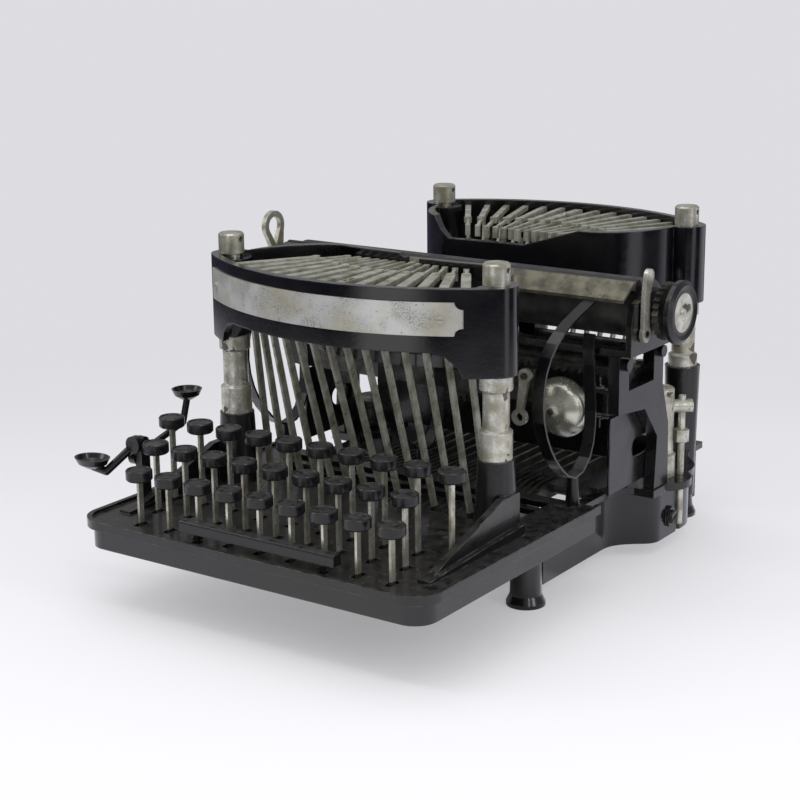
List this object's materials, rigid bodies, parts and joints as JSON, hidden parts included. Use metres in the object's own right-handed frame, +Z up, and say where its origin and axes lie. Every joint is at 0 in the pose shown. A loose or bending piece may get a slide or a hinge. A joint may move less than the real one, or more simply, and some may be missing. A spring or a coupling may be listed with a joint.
{
  "type": "index_typewriter",
  "caption": "Late Victorian keyboard typewriter with two open banks of hopping type bars, a sliding carriage with a rubber platen, round keys, a bell and two dish-shaped shift levers",
  "frame": {"origin": "on the table plane, under the middle of the whole machine's width and depth", "axes": "X to the right as the typist sees it, Y from the keys to the back, Z up"},
  "size_m": [0.248, 0.32, 0.17],
  "materials": {
    "japan_black": "glossy japan varnish",
    "old_nickel": "aged nickel plate, rubbed",
    "bar_steel": "aged steel, dull",
    "spotted_nickel": "nickel plate with rust spots",
    "blued_steel": "dark oiled steel",
    "platen_rubber": "hard ground rubber",
    "key_black": "polished vulcanite",
    "knob_black": "black vulcanite and nickel",
    "bell_nickel": "nickel plated bell metal",
    "pale_band": "bright rubbed plate"
  },
  "bodies": {
    "machine": {"base_casting": "japan_black", "feet": "japan_black", "posts": "spotted_nickel", "post_nuts": "old_nickel", "front_tray": "japan_black", "rear_tray": "japan_black", "front_band": "pale_band", "front_type_bars": "bar_steel", "rear_type_bars": "bar_steel", "lever_shaft": "blued_steel", "carriage_rails": "old_nickel", "bell": "bell_nickel", "basket_bands": "japan_black", "side_post": "spotted_nickel"},
    "carriage": {"carriage_frame": "japan_black", "feed_rack": "blued_steel"},
    "platen_unit": {"platen": "platen_rubber", "platen_knob": "knob_black", "ratchet_wheel": "old_nickel"},
    "line_space_lever_body": {"line_space_lever": "old_nickel"},
    "paper_release_lever_body": {"paper_release_lever": "old_nickel"},
    "escape_wheel_body": {"escape_wheel": "blued_steel"},
    "spring_drum_body": {"spring_drum": "blued_steel"},
    "bell_trip_lever_body": {"bell_trip_lever": "old_nickel"},
    "space_bar_body": {"space_bar": "key_black"},
    "shift_lever_low_body": {"shift_lever_low": "japan_black"},
    "shift_lever_high_body": {"shift_lever_high": "japan_black"},
    "front_hop_leg_body": {"front_hop_leg": "bar_steel"},
    "front_hop_bar_body": {"front_hop_bar": "bar_steel"},
    "rear_hop_leg_body": {"rear_hop_leg": "bar_steel"},
    "rear_hop_bar_body": {"rear_hop_bar": "bar_steel"},
    "key_01_body": {"key_01": "key_black"},
    "key_02_body": {"key_02": "key_black"},
    "key_03_body": {"key_03": "key_black"},
    "key_04_body": {"key_04": "key_black"},
    "key_05_body": {"key_05": "key_black"},
    "key_06_body": {"key_06": "key_black"},
    "key_07_body": {"key_07": "key_black"},
    "key_08_body": {"key_08": "key_black"},
    "key_09_body": {"key_09": "key_black"},
    "key_10_body": {"key_10": "key_black"},
    "key_11_body": {"key_11": "key_black"},
    "key_12_body": {"key_12": "key_black"},
    "key_13_body": {"key_13": "key_black"},
    "key_14_body": {"key_14": "key_black"},
    "key_15_body": {"key_15": "key_black"},
    "key_16_body": {"key_16": "key_black"},
    "key_17_body": {"key_17": "key_black"},
    "key_18_body": {"key_18": "key_black"},
    "key_19_body": {"key_19": "key_black"},
    "key_20_body": {"key_20": "key_black"},
    "key_21_body": {"key_21": "key_black"},
    "key_22_body": {"key_22": "key_black"},
    "key_23_body": {"key_23": "key_black"},
    "key_24_body": {"key_24": "key_black"},
    "key_25_body": {"key_25": "key_black"},
    "key_26_body": {"key_26": "key_black"},
    "key_27_body": {"key_27": "key_black"},
    "key_28_body": {"key_28": "key_black"}
  },
  "joints": [
    {"name": "carriage_slide", "type": "slide", "parent": "machine", "child": "carriage", "axis": [1, 0, 0], "range_m": [-0.055, 0.055]},
    {"name": "platen_turn", "type": "hinge", "parent": "carriage", "child": "platen_unit", "pos_m": [0, 0.0283, 0.135], "axis": [1, 0, 0], "continuous": true},
    {"name": "line_space_lever_swing", "type": "hinge", "parent": "carriage", "child": "line_space_lever_body", "pos_m": [-0.109, 0.0133, 0.126], "axis": [1, 0, 0], "range_deg": [0, 20]},
    {"name": "paper_release_swing", "type": "hinge", "parent": "carriage", "child": "paper_release_lever_body", "pos_m": [0.1097, 0.0133, 0.126], "axis": [1, 0, 0], "range_deg": [0, 15]},
    {"name": "escape_wheel_turn", "type": "hinge", "parent": "machine", "child": "escape_wheel_body", "pos_m": [0, 0.021, 0.08935], "axis": [0, 1, 0], "range_deg": [-260, 260]},
    {"name": "spring_drum_turn", "type": "hinge", "parent": "machine", "child": "spring_drum_body", "pos_m": [-0.092, 0.0749, 0.045], "axis": [0, 0, 1], "range_deg": [-278, 278]},
    {"name": "bell_trip_swing", "type": "hinge", "parent": "machine", "child": "bell_trip_lever_body", "pos_m": [0.0495, 0.004, 0.0995], "axis": [0, 1, 0], "range_deg": [-10, 10]},
    {"name": "space_bar_press", "type": "hinge", "parent": "machine", "child": "space_bar_body", "pos_m": [0, -0.06, 0.035], "axis": [1, 0, 0], "range_deg": [0, 2.4], "stiffness_Nm_per_rad": 1.5, "springref_deg": -5.73},
    {"name": "low_shift_press", "type": "hinge", "parent": "machine", "child": "shift_lever_low_body", "pos_m": [-0.089, -0.128, 0.075], "axis": [0, -1, 0], "range_deg": [0, 12], "stiffness_Nm_per_rad": 0.5, "springref_deg": -5.73},
    {"name": "high_shift_press", "type": "hinge", "parent": "machine", "child": "shift_lever_high_body", "pos_m": [-0.0936, -0.123, 0.067], "axis": [-1, 0, 0], "range_deg": [0, 10], "stiffness_Nm_per_rad": 0.5, "springref_deg": -5.73},
    {"name": "front_leg_swing", "type": "hinge", "parent": "machine", "child": "front_hop_leg_body", "pos_m": [0.00366, -0.05562, 0.123], "axis": [-0.999, -0.0436, 0], "range_deg": [0, 72.05]},
    {"name": "front_bar_level", "type": "hinge", "parent": "front_hop_leg_body", "child": "front_hop_bar_body", "pos_m": [0.00471, -0.0796, 0.156], "axis": [0.999, 0.0436, 0], "range_deg": [0, 72.05]},
    {"name": "rear_leg_swing", "type": "hinge", "parent": "machine", "child": "rear_hop_leg_body", "pos_m": [-0.00366, 0.11222, 0.123], "axis": [0.999, 0.0436, 0], "range_deg": [0, 72.05]},
    {"name": "rear_bar_level", "type": "hinge", "parent": "rear_hop_leg_body", "child": "rear_hop_bar_body", "pos_m": [-0.00471, 0.1362, 0.156], "axis": [-0.999, -0.0436, 0], "range_deg": [0, 72.05]},
    {"name": "key_01_press", "type": "hinge", "parent": "machine", "child": "key_01_body", "pos_m": [-0.0513, 0.0283, 0.035], "axis": [1, 0, 0], "range_deg": [0, 2.3], "stiffness_Nm_per_rad": 1, "springref_deg": -5.73},
    {"name": "key_02_press", "type": "hinge", "parent": "machine", "child": "key_02_body", "pos_m": [-0.0475, 0.0283, 0.035], "axis": [1, 0, 0], "range_deg": [0, 2.3], "stiffness_Nm_per_rad": 1, "springref_deg": -5.73},
    {"name": "key_03_press", "type": "hinge", "parent": "machine", "child": "key_03_body", "pos_m": [-0.0437, 0.0283, 0.035], "axis": [1, 0, 0], "range_deg": [0, 2.3], "stiffness_Nm_per_rad": 1, "springref_deg": -5.73},
    {"name": "key_04_press", "type": "hinge", "parent": "machine", "child": "key_04_body", "pos_m": [-0.0399, 0.0283, 0.035], "axis": [1, 0, 0], "range_deg": [0, 2.3], "stiffness_Nm_per_rad": 1, "springref_deg": -5.73},
    {"name": "key_05_press", "type": "hinge", "parent": "machine", "child": "key_05_body", "pos_m": [-0.0361, 0.0283, 0.035], "axis": [1, 0, 0], "range_deg": [0, 2.3], "stiffness_Nm_per_rad": 1, "springref_deg": -5.73},
    {"name": "key_06_press", "type": "hinge", "parent": "machine", "child": "key_06_body", "pos_m": [-0.0323, 0.0283, 0.035], "axis": [1, 0, 0], "range_deg": [0, 2.3], "stiffness_Nm_per_rad": 1, "springref_deg": -5.73},
    {"name": "key_07_press", "type": "hinge", "parent": "machine", "child": "key_07_body", "pos_m": [-0.0285, 0.0283, 0.035], "axis": [1, 0, 0], "range_deg": [0, 2.3], "stiffness_Nm_per_rad": 1, "springref_deg": -5.73},
    {"name": "key_08_press", "type": "hinge", "parent": "machine", "child": "key_08_body", "pos_m": [-0.0247, 0.0283, 0.035], "axis": [1, 0, 0], "range_deg": [0, 2.3], "stiffness_Nm_per_rad": 1, "springref_deg": -5.73},
    {"name": "key_09_press", "type": "hinge", "parent": "machine", "child": "key_09_body", "pos_m": [-0.0209, 0.0283, 0.035], "axis": [1, 0, 0], "range_deg": [0, 2.3], "stiffness_Nm_per_rad": 1, "springref_deg": -5.73},
    {"name": "key_10_press", "type": "hinge", "parent": "machine", "child": "key_10_body", "pos_m": [-0.0171, 0.0283, 0.035], "axis": [1, 0, 0], "range_deg": [0, 2.3], "stiffness_Nm_per_rad": 1, "springref_deg": -5.73},
    {"name": "key_11_press", "type": "hinge", "parent": "machine", "child": "key_11_body", "pos_m": [-0.0133, 0.0283, 0.035], "axis": [1, 0, 0], "range_deg": [0, 2.3], "stiffness_Nm_per_rad": 1, "springref_deg": -5.73},
    {"name": "key_12_press", "type": "hinge", "parent": "machine", "child": "key_12_body", "pos_m": [-0.0095, 0.0283, 0.035], "axis": [1, 0, 0], "range_deg": [0, 2.3], "stiffness_Nm_per_rad": 1, "springref_deg": -5.73},
    {"name": "key_13_press", "type": "hinge", "parent": "machine", "child": "key_13_body", "pos_m": [-0.0057, 0.0283, 0.035], "axis": [1, 0, 0], "range_deg": [0, 2.3], "stiffness_Nm_per_rad": 1, "springref_deg": -5.73},
    {"name": "key_14_press", "type": "hinge", "parent": "machine", "child": "key_14_body", "pos_m": [-0.0019, 0.0283, 0.035], "axis": [1, 0, 0], "range_deg": [0, 2.3], "stiffness_Nm_per_rad": 1, "springref_deg": -5.73},
    {"name": "key_15_press", "type": "hinge", "parent": "machine", "child": "key_15_body", "pos_m": [0.0019, 0.0283, 0.035], "axis": [1, 0, 0], "range_deg": [0, 2.3], "stiffness_Nm_per_rad": 1, "springref_deg": -5.73},
    {"name": "key_16_press", "type": "hinge", "parent": "machine", "child": "key_16_body", "pos_m": [0.0057, 0.0283, 0.035], "axis": [1, 0, 0], "range_deg": [0, 2.3], "stiffness_Nm_per_rad": 1, "springref_deg": -5.73},
    {"name": "key_17_press", "type": "hinge", "parent": "machine", "child": "key_17_body", "pos_m": [0.0095, 0.0283, 0.035], "axis": [1, 0, 0], "range_deg": [0, 2.3], "stiffness_Nm_per_rad": 1, "springref_deg": -5.73},
    {"name": "key_18_press", "type": "hinge", "parent": "machine", "child": "key_18_body", "pos_m": [0.0133, 0.0283, 0.035], "axis": [1, 0, 0], "range_deg": [0, 2.3], "stiffness_Nm_per_rad": 1, "springref_deg": -5.73},
    {"name": "key_19_press", "type": "hinge", "parent": "machine", "child": "key_19_body", "pos_m": [0.0171, 0.0283, 0.035], "axis": [1, 0, 0], "range_deg": [0, 2.3], "stiffness_Nm_per_rad": 1, "springref_deg": -5.73},
    {"name": "key_20_press", "type": "hinge", "parent": "machine", "child": "key_20_body", "pos_m": [0.0209, 0.0283, 0.035], "axis": [1, 0, 0], "range_deg": [0, 2.3], "stiffness_Nm_per_rad": 1, "springref_deg": -5.73},
    {"name": "key_21_press", "type": "hinge", "parent": "machine", "child": "key_21_body", "pos_m": [0.0247, 0.0283, 0.035], "axis": [1, 0, 0], "range_deg": [0, 2.3], "stiffness_Nm_per_rad": 1, "springref_deg": -5.73},
    {"name": "key_22_press", "type": "hinge", "parent": "machine", "child": "key_22_body", "pos_m": [0.0285, 0.0283, 0.035], "axis": [1, 0, 0], "range_deg": [0, 2.3], "stiffness_Nm_per_rad": 1, "springref_deg": -5.73},
    {"name": "key_23_press", "type": "hinge", "parent": "machine", "child": "key_23_body", "pos_m": [0.0323, 0.0283, 0.035], "axis": [1, 0, 0], "range_deg": [0, 2.3], "stiffness_Nm_per_rad": 1, "springref_deg": -5.73},
    {"name": "key_24_press", "type": "hinge", "parent": "machine", "child": "key_24_body", "pos_m": [0.0361, 0.0283, 0.035], "axis": [1, 0, 0], "range_deg": [0, 2.3], "stiffness_Nm_per_rad": 1, "springref_deg": -5.73},
    {"name": "key_25_press", "type": "hinge", "parent": "machine", "child": "key_25_body", "pos_m": [0.0399, 0.0283, 0.035], "axis": [1, 0, 0], "range_deg": [0, 2.3], "stiffness_Nm_per_rad": 1, "springref_deg": -5.73},
    {"name": "key_26_press", "type": "hinge", "parent": "machine", "child": "key_26_body", "pos_m": [0.0437, 0.0283, 0.035], "axis": [1, 0, 0], "range_deg": [0, 2.3], "stiffness_Nm_per_rad": 1, "springref_deg": -5.73},
    {"name": "key_27_press", "type": "hinge", "parent": "machine", "child": "key_27_body", "pos_m": [0.0475, 0.0283, 0.035], "axis": [1, 0, 0], "range_deg": [0, 2.3], "stiffness_Nm_per_rad": 1, "springref_deg": -5.73},
    {"name": "key_28_press", "type": "hinge", "parent": "machine", "child": "key_28_body", "pos_m": [0.0513, 0.0283, 0.035], "axis": [1, 0, 0], "range_deg": [0, 2.3], "stiffness_Nm_per_rad": 1, "springref_deg": -5.73}
  ],
  "couplings": [
    {"joint": "escape_wheel_turn", "follows": "carriage_slide", "rad_per_m": 82.305},
    {"joint": "spring_drum_turn", "follows": "carriage_slide", "rad_per_m": -87.719},
    {"joint": "front_leg_swing", "follows": "key_15_press", "ratio": 31.326},
    {"joint": "front_bar_level", "follows": "key_15_press", "ratio": 31.326},
    {"joint": "rear_leg_swing", "follows": "key_14_press", "ratio": 31.326},
    {"joint": "rear_bar_level", "follows": "key_14_press", "ratio": 31.326}
  ]
}
